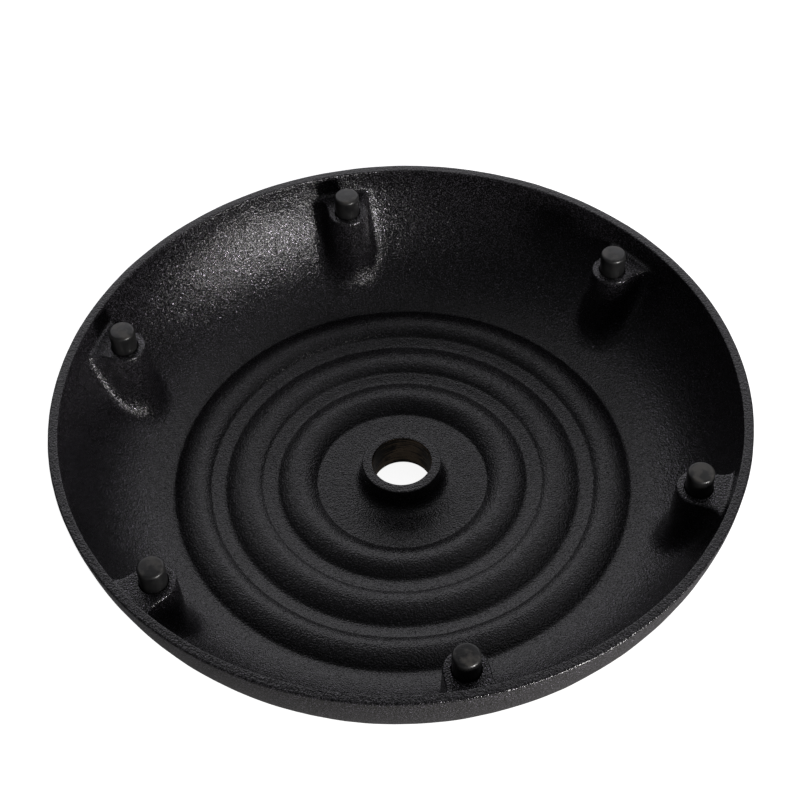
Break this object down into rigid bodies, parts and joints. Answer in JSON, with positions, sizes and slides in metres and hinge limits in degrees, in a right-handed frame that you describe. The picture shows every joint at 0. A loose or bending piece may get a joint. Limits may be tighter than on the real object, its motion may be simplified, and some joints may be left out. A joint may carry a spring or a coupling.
{
  "type": "stand base",
  "caption": "Round cast-iron stand base lying on its crown, open underside up, with a bored centre hub, ring ridges and rubber feet.",
  "frame": {"origin": "on the axis of the centre bore, in the plane of the crown's flat face, which the base lies on here", "axes": "+Z along the bore axis, out of the open underside; in use the base is turned over, so +Z points down into the ground"},
  "size_m": [0.4506, 0.4506, 0.0911],
  "materials": {
    "black_cast_iron": "fine-textured black coating over cast iron, with a bare machined bore",
    "grey_rubber": "smooth dark grey rubber, slightly glossy"
  },
  "bodies": {
    "root": {"base_casting": "black_cast_iron", "rubber_foot_1": "grey_rubber", "rubber_foot_2": "grey_rubber", "rubber_foot_3": "grey_rubber", "rubber_foot_4": "grey_rubber", "rubber_foot_5": "grey_rubber", "rubber_foot_6": "grey_rubber"}
  },
  "joints": []
}
